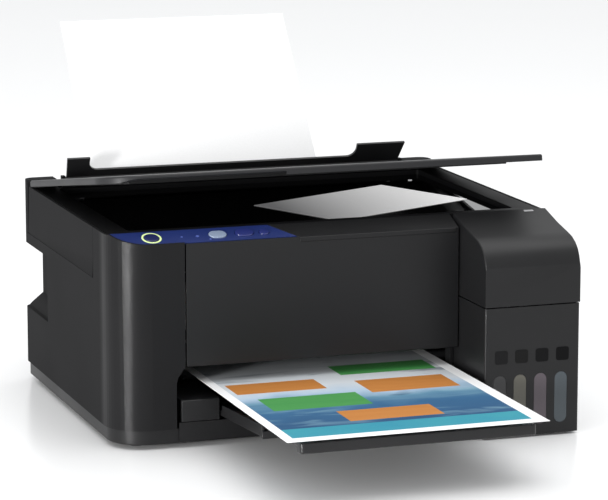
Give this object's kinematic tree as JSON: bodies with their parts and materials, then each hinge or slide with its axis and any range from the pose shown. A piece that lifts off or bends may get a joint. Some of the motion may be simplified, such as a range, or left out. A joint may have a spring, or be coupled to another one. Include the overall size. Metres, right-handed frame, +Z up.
{
  "type": "inkjet printer",
  "caption": "Tank-fed inkjet printer with flatbed scanner, rear sheet feeder, front output tray, sloping control strip and hinged ink tank cover.",
  "frame": {"origin": "on the desk, under the middle of the loaded printer's outline", "axes": "+X to the printer's right as seen from the front, +Y to the back, +Z up"},
  "size_m": [0.375, 0.5891, 0.3016],
  "materials": {
    "black_body": "fine textured",
    "black_frame": "satin",
    "blue_panel": "satin",
    "button_blue": "satin",
    "ring_light": "lit",
    "window_clear": "clear",
    "glass_bed": "polished",
    "rubber": "matt",
    "steel": "plated",
    "white_plastic": "matt",
    "grey_plastic": "matt",
    "board_green": "lacquered",
    "felt": "felt",
    "foam": "foam-backed sheet",
    "paper": "plain paper",
    "label": "printed film"
  },
  "bodies": {
    "base": {"lower_case": "black_frame", "rubber_feet": "rubber", "case_screws": "steel", "main_housing": "black_body", "rear_housing": "black_body", "front_panel": "black_frame", "control_panel": "blue_panel", "power_ring_light": "ring_light", "indicator_lights": "ring_light", "tank_lower_cover": "black_body", "tank_windows": "window_clear", "colour_labels": "label", "ink_tanks": "white_plastic", "main_frame": "steel", "drive_belts": "rubber", "carriage_motor": "steel", "platen": "grey_plastic", "capping_station": "grey_plastic", "waste_ink_pad": "felt", "power_supply": "grey_plastic", "ac_inlet": "grey_plastic", "main_board": "board_green", "feeder_frame": "grey_plastic", "output_tray": "black_frame", "ink_tubes": "white_plastic"},
    "scanner_unit": {"scanner_base": "black_body", "scanner_frame": "black_frame", "hinge_pins": "steel", "scanner_glass": "glass_bed", "scan_guide_rod": "steel"},
    "scan_head": {"scan_carriage": "grey_plastic"},
    "lid": {"lid_cover": "black_body", "lid_mat": "foam"},
    "original": {"glossy_original": "paper"},
    "tank_lid": {"tank_cover": "black_body"},
    "cap_black": {"tank_cap_black": "rubber"},
    "cap_yellow": {"tank_cap_yellow": "rubber"},
    "cap_magenta": {"tank_cap_magenta": "rubber"},
    "cap_cyan": {"tank_cap_cyan": "rubber"},
    "power_key": {"power_button": "button_blue"},
    "mono_key": {"mono_copy_button": "button_blue"},
    "colour_key": {"colour_copy_button": "button_blue"},
    "stop_key": {"stop_button": "button_blue"},
    "carriage": {"print_carriage": "grey_plastic"},
    "motor_pulley": {"drive_pulley": "white_plastic"},
    "tension_pulley": {"idler_pulley": "white_plastic"},
    "feed_shaft": {"feed_roller": "steel"},
    "exit_shaft": {"exit_roller": "steel"},
    "pinch_shaft": {"pinch_rollers": "white_plastic"},
    "star_shaft": {"star_wheels": "steel"},
    "pickup_shaft": {"pickup_roller": "rubber"},
    "hopper": {"hopper_plate": "grey_plastic"},
    "left_guide": {"left_edge_guide": "grey_plastic"},
    "right_guide": {"right_edge_guide": "grey_plastic"},
    "support": {"paper_support": "black_frame"},
    "guard": {"feeder_guard": "black_frame"},
    "extension": {"tray_extension": "black_frame"},
    "extension_end": {"tray_end_stage": "black_frame"},
    "loaded_paper": {"blank_sheet": "paper"},
    "delivered_paper": {"printed_sheet": "paper"}
  },
  "joints": [
    {"name": "scanner_unit_hinge", "type": "hinge", "parent": "base", "child": "scanner_unit", "pos_m": [0, 0.1785, 0.162], "axis": [-1, 0, 0], "range_deg": [0, 25]},
    {"name": "scan_head_travel", "type": "slide", "parent": "scanner_unit", "child": "scan_head", "axis": [1, 0, 0], "range_m": [0, 0.3]},
    {"name": "lid_hinge", "type": "hinge", "parent": "scanner_unit", "child": "lid", "pos_m": [0, 0.1745, 0.171], "axis": [1, 0, 0], "range_deg": [-50, 9.2]},
    {"name": "original_lift", "type": "slide", "parent": "scanner_unit", "child": "original", "axis": [0, 0, -1], "range_m": [-0.008, 0]},
    {"name": "tank_cover_hinge", "type": "hinge", "parent": "base", "child": "tank_lid", "pos_m": [0, -0.077, 0.1686], "axis": [-1, 0, 0], "range_deg": [0, 85]},
    {"name": "cap_black_hinge", "type": "hinge", "parent": "base", "child": "cap_black", "pos_m": [0.1181, -0.0995, 0.106], "axis": [-1, 0, 0], "range_deg": [0, 80]},
    {"name": "cap_yellow_hinge", "type": "hinge", "parent": "base", "child": "cap_yellow", "pos_m": [0.1357, -0.0995, 0.106], "axis": [-1, 0, 0], "range_deg": [0, 80]},
    {"name": "cap_magenta_hinge", "type": "hinge", "parent": "base", "child": "cap_magenta", "pos_m": [0.1535, -0.0995, 0.106], "axis": [-1, 0, 0], "range_deg": [0, 80]},
    {"name": "cap_cyan_hinge", "type": "hinge", "parent": "base", "child": "cap_cyan", "pos_m": [0.1714, -0.0995, 0.106], "axis": [-1, 0, 0], "range_deg": [0, 80]},
    {"name": "power_press", "type": "slide", "parent": "base", "child": "power_key", "axis": [0, 0.3403, -0.9403], "range_m": [0, 0.0012], "stiffness_N_per_m": 700, "springref_m": -0.0006},
    {"name": "mono_press", "type": "slide", "parent": "base", "child": "mono_key", "axis": [0, 0.3403, -0.9403], "range_m": [0, 0.0012], "stiffness_N_per_m": 700, "springref_m": -0.0006},
    {"name": "colour_press", "type": "slide", "parent": "base", "child": "colour_key", "axis": [0, 0.3403, -0.9403], "range_m": [0, 0.0012], "stiffness_N_per_m": 700, "springref_m": -0.0006},
    {"name": "stop_press", "type": "slide", "parent": "base", "child": "stop_key", "axis": [0, 0.3403, -0.9403], "range_m": [0, 0.0012], "stiffness_N_per_m": 700, "springref_m": -0.0006},
    {"name": "carriage_travel", "type": "slide", "parent": "base", "child": "carriage", "axis": [-1, 0, 0], "range_m": [0, 0.285]},
    {"name": "motor_pulley_spin", "type": "hinge", "parent": "base", "child": "motor_pulley", "pos_m": [0.172, 0.0765, 0], "axis": [0, 0, 1], "continuous": true},
    {"name": "tension_pulley_spin", "type": "hinge", "parent": "base", "child": "tension_pulley", "pos_m": [-0.172, 0.0765, 0], "axis": [0, 0, 1], "continuous": true},
    {"name": "feed_roller_spin", "type": "hinge", "parent": "base", "child": "feed_shaft", "pos_m": [0, 0.0565, 0.043], "axis": [1, 0, 0], "continuous": true},
    {"name": "exit_roller_spin", "type": "hinge", "parent": "base", "child": "exit_shaft", "pos_m": [0, -0.0185, 0.0445], "axis": [1, 0, 0], "continuous": true},
    {"name": "pinch_roller_spin", "type": "hinge", "parent": "base", "child": "pinch_shaft", "pos_m": [0, 0.0565, 0.0536], "axis": [1, 0, 0], "continuous": true},
    {"name": "star_wheel_spin", "type": "hinge", "parent": "base", "child": "star_shaft", "pos_m": [0, -0.0185, 0.0556], "axis": [1, 0, 0], "continuous": true},
    {"name": "pickup_roller_spin", "type": "hinge", "parent": "base", "child": "pickup_shaft", "pos_m": [0, 0.1139, 0.0936], "axis": [1, 0, 0], "continuous": true},
    {"name": "hopper_pivot", "type": "hinge", "parent": "base", "child": "hopper", "pos_m": [0, 0.1902, 0.16348], "axis": [1, 0, 0], "range_deg": [0, 3.5], "stiffness_Nm_per_rad": 2, "springref_deg": -8.59},
    {"name": "left_guide_slide", "type": "slide", "parent": "base", "child": "left_guide", "axis": [-1, 0, 0], "range_m": [0, 0.003]},
    {"name": "right_guide_slide", "type": "slide", "parent": "base", "child": "right_guide", "axis": [1, 0, 0], "range_m": [0, 0.003]},
    {"name": "support_slide", "type": "slide", "parent": "base", "child": "support", "axis": [0, 0.6211, 0.7837], "range_m": [-0.07, 0]},
    {"name": "guard_hinge", "type": "hinge", "parent": "base", "child": "guard", "pos_m": [0, 0.187, 0.1766], "axis": [-1, 0, 0], "range_deg": [0, 38]},
    {"name": "extension_slide", "type": "slide", "parent": "base", "child": "extension", "axis": [0, -0.9976, 0.0698], "range_m": [-0.09, 0]},
    {"name": "extension_end_slide", "type": "slide", "parent": "extension", "child": "extension_end", "axis": [0, -0.9976, 0.0698], "range_m": [-0.085, 0]},
    {"name": "loaded_paper_slide", "type": "slide", "parent": "base", "child": "loaded_paper", "axis": [0, 0.6211, 0.7837], "range_m": [0, 0.08]},
    {"name": "delivered_paper_slide", "type": "slide", "parent": "base", "child": "delivered_paper", "axis": [0, -1, 0], "range_m": [0, 0.08]}
  ],
  "couplings": [
    {"joint": "motor_pulley_spin", "follows": "carriage_travel", "rad_per_m": -169.5},
    {"joint": "tension_pulley_spin", "follows": "carriage_travel", "rad_per_m": -169.5},
    {"joint": "left_guide_slide", "follows": "right_guide_slide", "ratio": 1},
    {"joint": "exit_roller_spin", "follows": "feed_roller_spin", "ratio": 1},
    {"joint": "pinch_roller_spin", "follows": "feed_roller_spin", "ratio": -1.5},
    {"joint": "star_wheel_spin", "follows": "feed_roller_spin", "ratio": -1.425}
  ]
}
